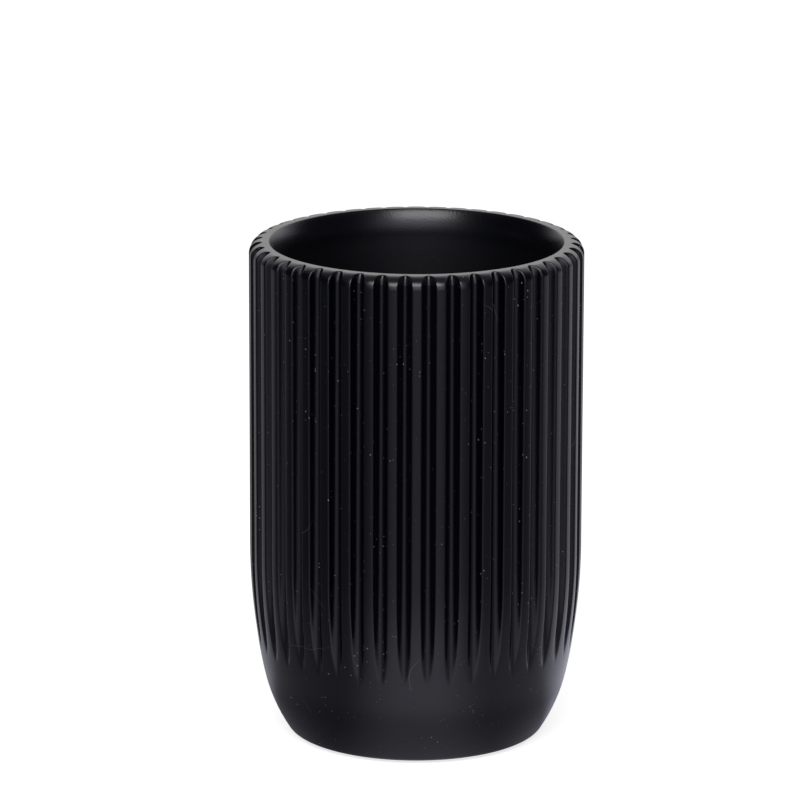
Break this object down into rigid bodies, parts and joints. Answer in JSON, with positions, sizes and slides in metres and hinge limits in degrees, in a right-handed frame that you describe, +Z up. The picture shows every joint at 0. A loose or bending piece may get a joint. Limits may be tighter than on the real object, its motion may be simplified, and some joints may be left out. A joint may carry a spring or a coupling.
{
  "type": "bathroom tumbler",
  "caption": "Round open tumbler with upright flutes that fade out above a smooth rounded base, a flat rim and a foam pad under the foot.",
  "frame": {"origin": "centre of the pad face that the tumbler stands on", "axes": "+Z up along the tumbler's axis, out of the mouth; a rib faces -Y"},
  "size_m": [0.075, 0.075, 0.1135],
  "materials": {
    "cast_body": "satin black cast resin with faint hair scratches and dust",
    "foam_pad": "closed-cell black foam with fine pores",
    "adhesive_film": "thin milky double-sided adhesive film"
  },
  "bodies": {
    "root": {"tumbler_body": "cast_body", "base_pad": "foam_pad", "pad_adhesive": "adhesive_film"}
  },
  "joints": []
}
